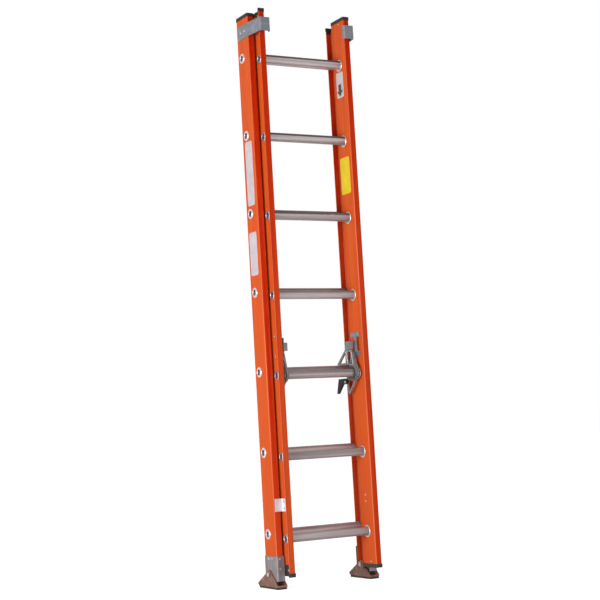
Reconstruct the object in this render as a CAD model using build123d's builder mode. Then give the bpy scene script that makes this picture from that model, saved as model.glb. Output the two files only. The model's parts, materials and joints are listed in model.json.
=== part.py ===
from build123d import *
import math
import os

# Two-section extension ladder, run right down, in millimetres.
# X runs across the ladder, the climber stands on the -Y side, Z runs up the rails.
# The base section stands behind and the fly section slides up in front of it.
# Every left-hand piece is drawn at negative X and mirrored for the right-hand side.

# Rungs
rung_pitch = 304.8
rung_count = 7
first_rung = 203.0
fly_drop = 18.0
rung_height = 31.0
rung_depth = 36.0
rung_wall = 2.4
rung_corner = 3.0
rib_count = 5
rib_gap = 2.0
rib_groove = 1.0
rung_end_radius = 15.0
rung_bore = 12.0
rung_fit = 0.1
ring_radius = 19.5
ring_thickness = 3.0
ring_round = 1.0
bead_radius = 20.5
bead_thickness = 4.5
swage_proud = 0.6

# Base rails: C sections whose flanges point inwards
side_clearance = 11.0
base_depth = 94.0
base_flange = 26.5
base_rail_foot = 36.0
rail_above_last_rung = 164.2
base_rung_setback = 56.0

# Fly rails: C sections whose flanges point outwards, the rear ones caught in the base rails
fly_clear_width = 350.0
fly_depth = 96.0
fly_flange = 25.0
fly_rail_foot = 51.0
fly_rail_shorter = 14.0
nest = 28.0
fly_rung_ahead = 19.0

# Both rails
rail_wall = 4.0
rail_outer_round = 4.0
rail_inner_round = 2.5
tip_round = 1.5

# End caps
cap_wall = 1.6
cap_skirt = 10.0
cap_plate = 3.0
cap_plug_depth = 22.0
foot_cap_wall = 2.5
foot_cap_skirt = 10.0
foot_cap_plate = 4.0
tongue_thickness = 5.0
tongue_length = 38.0
tongue_inset = 8.0
tongue_clear = 9.0

# Rivets
rivet_radius = 2.4
rivet_fit = 0.05
rivet_head_radius = 4.8
rivet_head_height = 1.8
rivet_head_taper = 30.0
rivet_tail_radius = 3.8
rivet_tail_height = 1.4

# Boots on the base rails
boot_wall = 3.0
boot_foot = 30.0
boot_height = 92.0
boot_overhang = 4.0
boot_rivet_drop = 10.0
boot_rivet_spacing = 27.0
boot_front_rivet_spacing = 36.0
boot_front_rivet_inset = 13.0

# Swivel shoes
pivot_height = 54.0
pad_thickness = 8.0
pad_inset = 1.5
pad_groove_count = 7
pad_groove_width = 5.0
pad_groove_depth = 2.5
shoe_plate = 3.0
shoe_side_gap = 1.0
shoe_toe = 64.0
shoe_heel = 88.0
shoe_spur = 8.0
spur_height = 10.0
toe_lip = 7.0
ear_radius = 16.0
ear_relief_side = 15.0
ear_relief_drop = 16.0
tooth_count = 9
tooth_depth = 3.5
bolt_radius = 5.0
bolt_running_fit = 0.08
bolt_hex_radius = 9.0
bolt_head_height = 5.5
bolt_face_gap = 0.3
bolt_end = 2.0

# Guides that keep the two sections together
guide_plate = 3.0
guide_bend = 4.0
guide_drop = 90.0
guide_height = 53.0
guide_back = 79.0
guide_front_gap = 20.0
guide_toe_in = 11.0
guide_front_width = 40.0
guide_lip = 14.0
guide_rivet_spacing = 32.0
fly_guide_rise = 102.0
fly_guide_height = 48.0
fly_guide_web_leg = 34.0
fly_guide_reach = 32.0
fly_guide_gap = 3.5
fly_guide_rivet_spacing = 24.0

# Rung locks, on the third fly rung
lock_rung_count = 3
hook_thickness = 5.0
hook_stand_off = 22.1
hook_side_gap = 0.6
hook_seat_gap = 0.3
hook_hub = 29.5
hook_bar = 8.0
hook_reach = 107.0
hook_lip_depth = 10.0
hook_lip_width = 8.0
hook_shoulder = 92.0
hook_head_height = 31.0
hook_head_thickness = 17.0
hook_head_front = -12.0
hook_head_back = 24.0
hook_top_front = -6.0
hook_top_back = 46.0
hook_leg = 9.0
bush_radius = 24.8
bush_running_fit = 0.08
bush_flange_radius = 27.0
bush_flange = 2.5
cast_corner = 2.2
frame_thickness = 4.0
frame_front = 38.0
frame_top = 76.0
frame_back = 54.0
frame_jaw_top = -20.0
frame_jaw_depth = 83.0
frame_hub = 27.0
frame_web = 9.0
flipper_thickness = 8.0
flipper_side_gap = 1.5
flipper_pin_y = 46.0
flipper_pin_z = -32.0
flipper_tip_z = -76.0
flipper_tip_width = 11.0
flipper_boss = 9.0
flipper_pin_radius = 3.0
flipper_running_fit = 0.08
flipper_pin_head = 5.0
spring_wire = 2.0
spring_radius = 27.5
spring_pitch = 2.3
spring_length = 4.6
strap_plate = 3.0
strap_stand_off = 15.5
strap_top_rise = 158.0
strap_shoulder_rise = 139.0
strap_waist_rise = 83.0
strap_foot_rise = 63.0
strap_arm_width = 12.0
strap_tab_width = 44.0
strap_top_tab_width = 64.0
strap_front = 46.0
strap_rivet_setback = 36.0

# Places that follow from the sizes above
fly_inside = fly_clear_width / 2
fly_web_outside = fly_inside + rail_wall
fly_tip = fly_inside + fly_flange
base_web_inside = fly_tip + side_clearance
half_base = base_web_inside + rail_wall
base_tip = half_base - base_flange
guide_reach_front = fly_depth - nest + guide_front_gap + guide_plate
shoe_reach_back = base_rung_setback + shoe_heel + shoe_spur
base_front = (guide_reach_front - shoe_reach_back) / 2
base_back = base_front + base_depth
fly_back = base_front + nest
fly_front = fly_back - fly_depth
base_rung_y = base_front + base_rung_setback
fly_rung_y = base_front - fly_rung_ahead
base_rung_heights = [first_rung + k * rung_pitch for k in range(rung_count)]
fly_rung_heights = [z - fly_drop for z in base_rung_heights]
base_rail_top = base_rung_heights[-1] + rail_above_last_rung
base_rail_length = base_rail_top - base_rail_foot
fly_rail_length = base_rail_length - fly_rail_shorter
fly_rail_top = fly_rail_foot + fly_rail_length
boot_top = boot_foot + boot_height
boot_tip = base_tip - boot_overhang
lock_z = fly_rung_heights[lock_rung_count - 1]
guide_foot = base_rail_top - guide_drop
fly_guide_foot = fly_rung_heights[0] + fly_guide_rise
strap_top = lock_z + strap_top_rise
strap_shoulder = lock_z + strap_shoulder_rise
strap_waist = lock_z + strap_waist_rise
strap_foot = lock_z + strap_foot_rise
touching = 0.01

os.makedirs("parts", exist_ok=True)


def write(name, builder):
    """Labels a finished piece and writes it as its own file."""
    builder.part.label = name
    export_step(builder.part, f"parts/{name}.step")


def write_pair(name, left):
    """Writes a left-hand piece and its mirror image on the right."""
    write(f"{name}_left", left)
    with BuildPart() as right:
        mirror(left.part, about=Plane.YZ)
    write(f"{name}_right", right)


def channel(web_face, tip, front, back, wall, outer_round, inner_round):
    """A C section on the ground plane, with its web at web_face and its flanges out to tip."""
    inside = web_face + math.copysign(wall, tip - web_face)
    with BuildSketch() as section:
        with BuildLine():
            Polyline(
                (tip, front),
                (web_face, front),
                (web_face, back),
                (tip, back),
                (tip, back - wall),
                (inside, back - wall),
                (inside, front + wall),
                (tip, front + wall),
                close=True,
            )
        make_face()
        corners = section.vertices().filter_by_position(Axis.X, web_face - touching, web_face + touching)
        fillet(corners, outer_round)
        roots = section.vertices().filter_by_position(Axis.X, inside - touching, inside + touching)
        roots = roots.filter_by_position(Axis.Y, front + wall - touching, back - wall + touching)
        fillet(roots, inner_round)
        ends = section.vertices().filter_by_position(Axis.X, tip - touching, tip + touching)
        fillet(ends, min(tip_round, 0.45 * wall))
    return section.sketch


def base_channel():
    """The base rail's section, left side."""
    return channel(-half_base, -base_tip, base_front, base_back, rail_wall, rail_outer_round, rail_inner_round)


def fly_channel():
    """The fly rail's section, left side."""
    return channel(-fly_inside, -fly_tip, fly_front, fly_back, rail_wall, rail_outer_round, rail_inner_round)


def rung_outline(grow):
    """The D shape of a rung about its own centre, flat on top, grown by a clearance."""
    half = rung_depth / 2 + grow
    top = rung_height / 2 + grow
    with BuildSketch() as outline:
        with BuildLine():
            Polyline((-half, 0), (-half, top), (half, top), (half, 0))
            ThreePointArc((half, 0), (0, -top), (-half, 0))
        make_face()
        shoulders = outline.vertices().group_by(Axis.Y)[-1]
        fillet(shoulders, rung_corner + grow)
    return outline.sketch


def across(x, y, z):
    """A plane across the ladder at x, with its own x along the depth and its own y upwards."""
    return Plane(origin=(x, y, z), x_dir=(0, 1, 0), z_dir=(1, 0, 0))


def rivet(seat, grip):
    """Adds a rivet to the open part: a head on the seat, a shank of the grip's length and a tail."""
    with BuildSketch(seat) as head:
        Circle(rivet_head_radius)
    extrude(head.sketch, amount=rivet_head_height, taper=rivet_head_taper)
    with BuildSketch(seat) as shank:
        Circle(rivet_radius)
    extrude(shank.sketch, amount=-grip)
    with BuildSketch(seat.offset(-grip)) as tail:
        Circle(rivet_tail_radius)
    extrude(tail.sketch, amount=-rivet_tail_height)


def rivet_holes(seats, depth):
    """Cuts clearance holes for rivets into the open part, from each seat inwards."""
    for seat in seats:
        with BuildSketch(seat) as hole:
            Circle(rivet_radius + rivet_fit)
        extrude(hole.sketch, amount=-depth, mode=Mode.SUBTRACT)


def outward(x, y, z):
    """A rivet seat that faces out of the ladder's left side."""
    return Plane(origin=(x, y, z), x_dir=(0, 1, 0), z_dir=(-1, 0, 0))


def frontward(x, y, z):
    """A rivet seat that faces the climber."""
    return Plane(origin=(x, y, z), x_dir=(1, 0, 0), z_dir=(0, -1, 0))


# Rivet seats, each on the outer face of the outermost plate that it holds
boot_middle = (base_front + base_back) / 2
boot_web_seats = [
    outward(-half_base - boot_wall, boot_middle + side * boot_rivet_spacing / 2, boot_top - boot_rivet_drop)
    for side in (-1, 1)
]
boot_front_seats = [
    frontward(-base_tip - boot_front_rivet_inset, base_front - boot_wall, boot_top - boot_rivet_drop - drop)
    for drop in (0, boot_front_rivet_spacing)
]
guide_seats = [
    outward(
        -half_base - guide_plate,
        base_front + guide_back / 2 + side * guide_rivet_spacing / 2,
        guide_foot + guide_height / 2,
    )
    for side in (-1, 1)
]
fly_guide_seats = [
    outward(
        -fly_web_outside - guide_plate,
        base_front - fly_guide_gap - fly_guide_web_leg / 2,
        fly_guide_foot + fly_guide_height / 2 + side * fly_guide_rivet_spacing / 2,
    )
    for side in (-1, 1)
]
tongue_middle = (fly_front + rail_wall + tongue_inset + base_front - tongue_clear) / 2
cap_seats = [
    outward(-fly_web_outside - tongue_thickness, tongue_middle, z)
    for z in (fly_rail_foot + tongue_length / 2, fly_rail_top - tongue_length / 2)
]
strap_rivet_y = fly_rung_y - strap_front + strap_rivet_setback + fly_rung_ahead
lock_seats = [
    outward(-fly_web_outside, strap_rivet_y, z)
    for z in ((strap_top + strap_shoulder) / 2, (strap_waist + strap_foot) / 2)
]


def heel(radius):
    """The corner behind and below the shoe pivot that a rounded heel of this radius leaves off."""
    low = pivot_height - 2 * radius
    far = 2 * radius
    with BuildSketch(across(-half_base - 2 * boot_wall, base_rung_y, pivot_height)) as corner:
        with BuildLine():
            RadiusArc((0, -radius), (radius, 0), -radius)
            Polyline((radius, 0), (far, 0), (far, low - pivot_height), (0, low - pivot_height), (0, -radius))
        make_face()
    return corner.sketch


def bolt_hole(radius):
    """The shoe bolt's hole, as a circle outside the left-hand side."""
    with BuildSketch(across(-half_base - 4 * boot_wall, base_rung_y, pivot_height)) as hole:
        Circle(radius)
    return hole.sketch


heel_radius = base_back + boot_wall - base_rung_y

# Base rails
with BuildPart() as base_rail:
    extrude(Pos(0, 0, base_rail_foot) * base_channel(), amount=base_rail_length)
    with BuildSketch(Plane.YZ.offset(-half_base)):
        with Locations(*[(base_rung_y, z) for z in base_rung_heights]):
            Circle(rung_end_radius + rung_fit)
    extrude(amount=rail_wall, mode=Mode.SUBTRACT)
    extrude(heel(heel_radius - boot_wall), amount=base_flange + 2 * boot_wall, mode=Mode.SUBTRACT)
    extrude(bolt_hole(bolt_radius + rivet_fit), amount=4 * boot_wall + rail_wall, mode=Mode.SUBTRACT)
    rivet_holes(boot_web_seats, boot_wall + rail_wall)
    rivet_holes(boot_front_seats, boot_wall + rail_wall)
    rivet_holes(guide_seats, guide_plate + rail_wall)
write_pair("base_rail", base_rail)

# Fly rails
with BuildPart() as fly_rail:
    extrude(Pos(0, 0, fly_rail_foot) * fly_channel(), amount=fly_rail_length)
    with BuildSketch(Plane.YZ.offset(-fly_web_outside)):
        with Locations(*[(fly_rung_y, z) for z in fly_rung_heights]):
            Circle(rung_end_radius + rung_fit)
    extrude(amount=rail_wall, mode=Mode.SUBTRACT)
    rivet_holes(fly_guide_seats, guide_plate + rail_wall)
    rivet_holes(cap_seats, tongue_thickness + rail_wall)
    rivet_holes(lock_seats, rail_wall)
write_pair("fly_rail", fly_rail)


def rung(web_inside, y, z):
    """Adds one hollow rung to the open part: the D tube, a bead inside each web and a round end through it."""
    tube_half = web_inside - bead_thickness
    end = web_inside + rail_wall + ring_thickness + swage_proud
    groove_pitch = (rung_depth - 2 * rung_corner) / rib_count
    with BuildSketch(across(-tube_half, y, z)) as tube:
        add(rung_outline(0))
        add(rung_outline(-rung_wall), mode=Mode.SUBTRACT)
        with Locations((0, rung_height / 2)):
            with GridLocations(groove_pitch, 1, rib_count, 1):
                Rectangle(rib_gap, 2 * rib_groove, mode=Mode.SUBTRACT)
    extrude(tube.sketch, amount=2 * tube_half)
    for inner, outer, radius in ((tube_half, web_inside, bead_radius), (web_inside, end, rung_end_radius)):
        for start in (-outer, inner):
            with BuildSketch(across(start, y, z)) as sleeve:
                Circle(radius)
                Circle(rung_bore, mode=Mode.SUBTRACT)
            extrude(sleeve.sketch, amount=outer - inner)


def rung_rings(web_outside, y, heights):
    """Adds the rings that clinch every rung's ends on the outside of the webs, to the open part."""
    for z in heights:
        for start in (-web_outside - ring_thickness, web_outside):
            with BuildSketch(across(start, y, z)) as ring:
                Circle(ring_radius)
                Circle(rung_end_radius + rung_fit, mode=Mode.SUBTRACT)
            extrude(ring.sketch, amount=ring_thickness)
    rims = edges().filter_by(GeomType.CIRCLE)
    outer_rims = [
        rim
        for rim in rims
        if rim.radius > rung_end_radius + rung_fit + touching
        and abs(rim.center().X) > web_outside + ring_thickness / 2
    ]
    fillet(outer_rims, ring_round)


for number, height in enumerate(base_rung_heights, start=1):
    with BuildPart() as base_rung:
        rung(base_web_inside, base_rung_y, height)
    write(f"base_rung_{number}", base_rung)

for number, height in enumerate(fly_rung_heights, start=1):
    with BuildPart() as fly_rung:
        rung(fly_inside, fly_rung_y, height)
    write(f"fly_rung_{number}", fly_rung)

with BuildPart() as base_rung_rings:
    rung_rings(half_base, base_rung_y, base_rung_heights)
write("base_rung_rings", base_rung_rings)

with BuildPart() as fly_rung_rings:
    rung_rings(fly_web_outside, fly_rung_y, fly_rung_heights)
write("fly_rung_rings", fly_rung_rings)


def sleeve_cap(section, wall, low, high, rail_low, rail_high):
    """Adds a cap that follows a rail's section to the open part, hollow where the rail runs."""
    with BuildSketch(Plane.XY.offset(low)) as cover:
        add(section)
        offset(amount=wall)
    extrude(cover.sketch, amount=high - low)
    extrude(Pos(0, 0, rail_low) * section, amount=rail_high - rail_low, mode=Mode.SUBTRACT)


def cap_tongue(low):
    """Adds the tongue that a fly cap pushes into the rail's channel, against the web, to the open part."""
    front = fly_front + rail_wall + tongue_inset
    back = base_front - tongue_clear
    with BuildSketch(Plane.XY.offset(low)) as tongue:
        with Locations((-fly_web_outside - tongue_thickness / 2, (front + back) / 2)):
            Rectangle(tongue_thickness, back - front)
    extrude(tongue.sketch, amount=tongue_length)


# End caps
with BuildPart() as base_cap:
    sleeve_cap(
        base_channel(),
        cap_wall,
        base_rail_top - cap_skirt,
        base_rail_top + cap_plate,
        base_rail_top - cap_skirt,
        base_rail_top,
    )
    with BuildSketch(Plane.XY.offset(base_rail_top - cap_plug_depth)) as plug:
        with Locations((-base_tip, base_back - rail_wall)):
            Rectangle(
                base_flange - rail_wall - rail_inner_round, cap_wall, align=(Align.MAX, Align.MAX)
            )
    extrude(plug.sketch, amount=cap_plug_depth)
write_pair("base_cap", base_cap)

with BuildPart() as fly_top_cap:
    sleeve_cap(
        fly_channel(),
        cap_wall,
        fly_rail_top - cap_skirt,
        fly_rail_top + cap_plate,
        fly_rail_top - cap_skirt,
        fly_rail_top,
    )
    cap_tongue(fly_rail_top - tongue_length)
    rivet_holes(cap_seats, tongue_thickness)
write_pair("fly_top_cap", fly_top_cap)

with BuildPart() as fly_foot_cap:
    sleeve_cap(
        fly_channel(),
        foot_cap_wall,
        fly_rail_foot - foot_cap_plate,
        fly_rail_foot + foot_cap_skirt,
        fly_rail_foot,
        fly_rail_foot + foot_cap_skirt,
    )
    cap_tongue(fly_rail_foot)
    rivet_holes(cap_seats, tongue_thickness)
write_pair("fly_foot_cap", fly_foot_cap)


def write_rivets(name, seats_and_grips):
    """Writes one group of rivets for both sides of the ladder."""
    with BuildPart() as rivets:
        for seats, grip in seats_and_grips:
            for seat in seats:
                rivet(seat, grip)
        mirror(rivets.part, about=Plane.YZ)
    write(name, rivets)


write_rivets("cap_rivets", [(cap_seats, tongue_thickness + rail_wall)])
boot_grip = boot_wall + rail_wall
write_rivets("boot_rivets", [(boot_web_seats, boot_grip), (boot_front_seats, boot_grip)])
write_rivets("base_guide_rivets", [(guide_seats, guide_plate + rail_wall)])
write_rivets("fly_guide_rivets", [(fly_guide_seats, guide_plate + rail_wall)])
write_rivets("lock_rivets", [(lock_seats, rail_wall + strap_plate)])

# Boots
with BuildPart() as boot:
    boot_section = channel(
        -half_base - boot_wall,
        -boot_tip,
        base_front - boot_wall,
        base_back + boot_wall,
        boot_wall,
        rail_outer_round + boot_wall,
        rail_outer_round,
    )
    extrude(Pos(0, 0, boot_foot) * boot_section, amount=boot_height)
    extrude(heel(heel_radius), amount=base_flange + boot_overhang + 4 * boot_wall, mode=Mode.SUBTRACT)
    extrude(bolt_hole(bolt_radius + rivet_fit), amount=4 * boot_wall + rail_wall, mode=Mode.SUBTRACT)
    rivet_holes(boot_web_seats, boot_wall)
    rivet_holes(boot_front_seats, boot_wall)
write_pair("base_boot", boot)

# Swivel shoes: two ears and a sole plate, toothed along the back edge, on a grooved pad
ear_outside = half_base + boot_wall + shoe_side_gap + shoe_plate
ear_inside = boot_tip - shoe_side_gap - shoe_plate
sole_drop = pivot_height - pad_thickness
spur_tip = (shoe_heel + shoe_spur, spur_height - sole_drop)
spur_distance = math.hypot(*spur_tip)
slope_normal = math.atan2(spur_tip[1], spur_tip[0]) + math.acos(ear_radius / spur_distance)
slope_start = (ear_radius * math.cos(slope_normal), ear_radius * math.sin(slope_normal))


def ear(x, relieved):
    """An ear's outline at x: round at the bolt, wide at the sole and toothed down its back slope."""
    with BuildSketch(across(x, base_rung_y, pivot_height)) as outline:
        with BuildLine():
            CenterArc((0, 0), ear_radius, 0, 360)
            Polyline((-shoe_toe, -sole_drop), (shoe_heel, -sole_drop), spur_tip)
            Line((-shoe_toe, -sole_drop), (-shoe_toe, toe_lip - sole_drop))
        make_hull()
        for tooth in range(tooth_count):
            share = (tooth + 2) / (tooth_count + 2)
            y = slope_start[0] + share * (spur_tip[0] - slope_start[0])
            z = slope_start[1] + share * (spur_tip[1] - slope_start[1])
            with Locations(Location((y, z), math.degrees(slope_normal))):
                Rectangle(tooth_depth, tooth_depth, rotation=45, mode=Mode.SUBTRACT)
        if relieved:
            with Locations((-ear_relief_side, -ear_relief_drop)):
                Rectangle(
                    2 * shoe_toe, 2 * pivot_height, align=(Align.MAX, Align.MIN), mode=Mode.SUBTRACT
                )
        Circle(bolt_radius + bolt_running_fit, mode=Mode.SUBTRACT)
    return outline.sketch


with BuildPart() as shoe:
    extrude(ear(-ear_outside, False), amount=shoe_plate)
    extrude(ear(-ear_inside - shoe_plate, True), amount=shoe_plate)
    with BuildSketch(across(-ear_outside, base_rung_y, pivot_height)) as sole:
        with Locations((-shoe_toe, -sole_drop)):
            Rectangle(shoe_toe + shoe_heel, shoe_plate, align=(Align.MIN, Align.MIN))
            Rectangle(shoe_plate, toe_lip, align=(Align.MIN, Align.MIN))
    extrude(sole.sketch, amount=ear_outside - ear_inside)
write_pair("shoe", shoe)

with BuildPart() as shoe_pad:
    with BuildSketch(across(-ear_outside + pad_inset, base_rung_y, 0)) as pad:
        with Locations((pad_inset - shoe_toe, 0)):
            Rectangle(shoe_toe + shoe_heel - 2 * pad_inset, pad_thickness, align=(Align.MIN, Align.MIN))
        with Locations(((shoe_heel - shoe_toe) / 2, 0)):
            with GridLocations((shoe_toe + shoe_heel) / (pad_groove_count + 1), 1, pad_groove_count, 1):
                Rectangle(pad_groove_width, 2 * pad_groove_depth, mode=Mode.SUBTRACT)
    extrude(pad.sketch, amount=ear_outside - ear_inside - 2 * pad_inset)
write_pair("shoe_pad", shoe_pad)

with BuildPart() as shoe_bolt:
    with BuildSketch(across(-ear_outside - bolt_face_gap - bolt_head_height, base_rung_y, pivot_height)):
        RegularPolygon(bolt_hex_radius, 6)
    extrude(amount=bolt_head_height)
    with BuildSketch(across(-ear_outside - bolt_face_gap, base_rung_y, pivot_height)):
        Circle(bolt_radius)
    extrude(amount=ear_outside - ear_inside + 2 * bolt_face_gap + bolt_head_height + bolt_end)
write_pair("shoe_bolt", shoe_bolt)

with BuildPart() as shoe_nut:
    with BuildSketch(across(-ear_inside + bolt_face_gap, base_rung_y, pivot_height)):
        RegularPolygon(bolt_hex_radius, 6)
        Circle(bolt_radius, mode=Mode.SUBTRACT)
    extrude(amount=bolt_head_height)
write_pair("shoe_nut", shoe_nut)

# Guides at the top of the base rails, which wrap round the front of the fly rails
guide_line_x = half_base + guide_plate / 2
guide_front_y = fly_front - guide_front_gap - guide_plate / 2
guide_corner_x = guide_line_x - guide_toe_in
with BuildPart() as base_guide:
    with BuildSketch(Plane.XY.offset(guide_foot)):
        with BuildLine() as bent:
            FilletPolyline(
                (-guide_line_x, base_front + guide_back),
                (-guide_line_x, base_front),
                (-guide_corner_x, guide_front_y),
                (guide_front_width - guide_corner_x, guide_front_y),
                (guide_front_width - guide_corner_x, guide_front_y + guide_lip),
                radius=guide_bend,
            )
        trace(bent.edges(), line_width=guide_plate)
    extrude(amount=guide_height)
    rivet_holes(guide_seats, guide_plate)
write_pair("base_guide", base_guide)

# Guides low on the fly rails, which reach in front of the base rails' flanges
fly_guide_line_x = fly_web_outside + guide_plate / 2
fly_guide_line_y = base_front - fly_guide_gap - guide_plate / 2
with BuildPart() as fly_guide:
    with BuildSketch(Plane.XY.offset(fly_guide_foot)):
        with BuildLine() as elbow:
            FilletPolyline(
                (-fly_guide_line_x, fly_guide_line_y - fly_guide_web_leg),
                (-fly_guide_line_x, fly_guide_line_y),
                (-fly_guide_line_x - fly_guide_reach, fly_guide_line_y),
                radius=guide_bend,
            )
        trace(elbow.edges(), line_width=guide_plate)
    extrude(amount=fly_guide_height)
    rivet_holes(fly_guide_seats, guide_plate)
write_pair("fly_guide", fly_guide)

# Rung locks, drawn about the axis of the fly rung that carries them
hook_outer_x = fly_inside - hook_stand_off
hook_inner_x = hook_outer_x - hook_thickness
frame_inner_x = hook_outer_x + hook_side_gap
frame_outer_x = frame_inner_x + frame_thickness
hook_seat = fly_drop + rung_height / 2 + hook_seat_gap


def lock_plane(x):
    """The left-hand lock's drawing plane at a distance x from the ladder's middle."""
    return across(-x, fly_rung_y, lock_z)


def rounded(*points):
    """A casting's closed outline through points, with its corners rounded."""
    with BuildSketch() as outline:
        with BuildLine():
            Polyline(*points, close=True)
        make_face()
        fillet(outline.vertices(), cast_corner)
    return outline.sketch


with BuildPart() as lock_frame:
    with BuildSketch(lock_plane(frame_outer_x)):
        add(
            rounded(
                (-frame_web, frame_top),
                (frame_web, frame_top),
                (frame_hub, frame_hub),
                (frame_back, frame_jaw_top),
                (frame_back, frame_jaw_top - frame_web),
                (frame_back - frame_web, frame_web - frame_jaw_depth),
                (frame_back - 2 * frame_web, -frame_jaw_depth),
                (-frame_front, -frame_web),
                (-frame_front, frame_web / 2),
            )
        )
        add(
            rounded(
                (-frame_web, -frame_hub),
                (frame_back - frame_web, -frame_hub),
                (frame_back - 2 * frame_web, 1.5 * frame_web - frame_jaw_depth),
            ),
            mode=Mode.SUBTRACT,
        )
        add(
            rounded(
                (0, frame_top - 1.5 * frame_web),
                (frame_hub - frame_web, frame_hub),
                (-frame_web, frame_hub),
                (frame_web - frame_front + frame_web / 2, frame_web),
            ),
            mode=Mode.SUBTRACT,
        )
        Circle(frame_hub)
        add(rung_outline(rung_fit), mode=Mode.SUBTRACT)
        with Locations((flipper_pin_y, flipper_pin_z)):
            Circle(flipper_boss)
            Circle(flipper_pin_radius + rivet_fit, mode=Mode.SUBTRACT)
    extrude(amount=frame_thickness)
write_pair("lock_frame", lock_frame)

with BuildPart() as lock_bush:
    with BuildSketch(lock_plane(frame_inner_x)) as barrel:
        Circle(bush_radius)
        add(rung_outline(rung_fit), mode=Mode.SUBTRACT)
    extrude(barrel.sketch, amount=hook_thickness + 2 * hook_side_gap)
    with BuildSketch(lock_plane(hook_inner_x - hook_side_gap)) as flange:
        Circle(bush_flange_radius)
        add(rung_outline(rung_fit), mode=Mode.SUBTRACT)
    extrude(flange.sketch, amount=bush_flange)
write_pair("lock_bush", lock_bush)

with BuildPart() as lock_hook:
    with BuildSketch(lock_plane(hook_outer_x)) as body:
        add(
            rounded(
                (hook_top_front, hook_shoulder),
                (hook_top_back, hook_shoulder),
                (hook_reach, hook_seat + hook_bar),
                (hook_reach, hook_seat - hook_lip_depth),
                (hook_reach - hook_lip_width, hook_seat - hook_lip_depth),
                (hook_reach - hook_lip_width, hook_seat),
                (0, hook_seat),
                (-hook_hub, 0),
                (-hook_hub, hook_leg),
            )
        )
        Circle(hook_hub)
        add(
            rounded(
                (hook_top_back - hook_leg / 2, hook_shoulder - hook_leg),
                (hook_top_back - 1.5 * hook_leg, hook_seat + hook_bar),
                (hook_reach - 2 * hook_leg, hook_seat + hook_bar),
            ),
            mode=Mode.SUBTRACT,
        )
        add(
            rounded(
                (hook_leg / 2, hook_shoulder - hook_leg),
                (hook_top_back - 2 * hook_leg, hook_shoulder - hook_leg),
                (hook_top_back - 2.5 * hook_leg, hook_seat + hook_bar / 2),
                (-hook_leg, hook_seat),
            ),
            mode=Mode.SUBTRACT,
        )
        Circle(bush_radius + bush_running_fit, mode=Mode.SUBTRACT)
    extrude(body.sketch, amount=hook_thickness)
    with BuildSketch(lock_plane(hook_outer_x)) as head:
        with Locations((hook_head_front, hook_shoulder)):
            Rectangle(
                hook_head_back - hook_head_front, hook_head_height, align=(Align.MIN, Align.MIN)
            )
        fillet(head.vertices().group_by(Axis.Y)[-1], cast_corner)
    extrude(head.sketch, amount=hook_head_thickness)
write_pair("lock_hook", lock_hook)

flipper_outer_x = hook_outer_x - flipper_side_gap
with BuildPart() as lock_flipper:
    with BuildSketch(lock_plane(flipper_outer_x)):
        add(
            rounded(
                (flipper_pin_y, flipper_pin_z + flipper_boss),
                (flipper_pin_y + flipper_boss, flipper_pin_z + 1.5 * flipper_boss),
                (hook_reach - flipper_boss, flipper_pin_z + 1.5 * flipper_boss),
                (hook_reach + flipper_boss, flipper_tip_z),
                (hook_reach + flipper_boss - flipper_tip_width, flipper_tip_z),
                (flipper_pin_y + 2.5 * flipper_boss, flipper_pin_z - flipper_boss),
                (flipper_pin_y, flipper_pin_z - flipper_boss),
            )
        )
        with Locations((flipper_pin_y, flipper_pin_z)):
            Circle(flipper_boss)
            Circle(flipper_pin_radius + flipper_running_fit, mode=Mode.SUBTRACT)
    extrude(amount=flipper_thickness)
write_pair("lock_flipper", lock_flipper)

flipper_inner_x = flipper_outer_x - flipper_thickness
with BuildPart() as flipper_pins:
    with BuildSketch(lock_plane(frame_outer_x)) as stem:
        with Locations((flipper_pin_y, flipper_pin_z)):
            Circle(flipper_pin_radius)
    extrude(stem.sketch, amount=frame_outer_x - flipper_inner_x + bolt_face_gap)
    with BuildSketch(lock_plane(flipper_inner_x - bolt_face_gap)) as button:
        with Locations((flipper_pin_y, flipper_pin_z)):
            Circle(flipper_pin_head)
    extrude(button.sketch, amount=rivet_head_height)
    mirror(flipper_pins.part, about=Plane.YZ)
write("flipper_pins", flipper_pins)

# Lock springs, coiled on the rung between the frame and the rail
spring_start = frame_outer_x + spring_wire / 2
with BuildPart() as lock_spring:
    with BuildLine() as coil:
        Helix(
            spring_pitch,
            spring_length,
            spring_radius,
            center=(-spring_start, fly_rung_y, lock_z),
            direction=(-1, 0, 0),
        )
    with BuildSketch(Plane(origin=coil.edges()[0] @ 0, z_dir=coil.edges()[0] % 0)) as wire:
        Circle(spring_wire / 2)
    sweep(wire.sketch, path=coil.edges()[0])
write_pair("lock_spring", lock_spring)

# Straps riveted inside the fly rails, which guard the head of each lock
strap_line = fly_inside - strap_plate / 2
strap_arm_line = fly_inside - strap_stand_off
strap_front_y = fly_rung_y + fly_rung_ahead - strap_front
with BuildPart() as lock_strap:
    with BuildSketch(Plane(origin=(0, strap_front_y, 0), x_dir=(1, 0, 0), z_dir=(0, -1, 0))) as profile:
        with BuildLine() as bend:
            Polyline(
                (-strap_line, strap_top),
                (-strap_line, strap_shoulder),
                (-strap_arm_line, strap_shoulder),
                (-strap_arm_line, strap_waist),
                (-strap_line, strap_waist),
                (-strap_line, strap_foot),
            )
        trace(bend.edges(), line_width=strap_plate)
    extrude(profile.sketch, amount=-strap_arm_width)
    for low, high, width in (
        (strap_foot, strap_waist, strap_tab_width),
        (strap_shoulder, strap_top, strap_top_tab_width),
    ):
        with BuildSketch(across(-fly_inside, strap_front_y, low)) as tab:
            Rectangle(width, high - low, align=(Align.MIN, Align.MIN))
        extrude(tab.sketch, amount=strap_plate)
    rivet_holes([seat.offset(-rail_wall) for seat in lock_seats], strap_plate)
write_pair("lock_strap", lock_strap)
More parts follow.
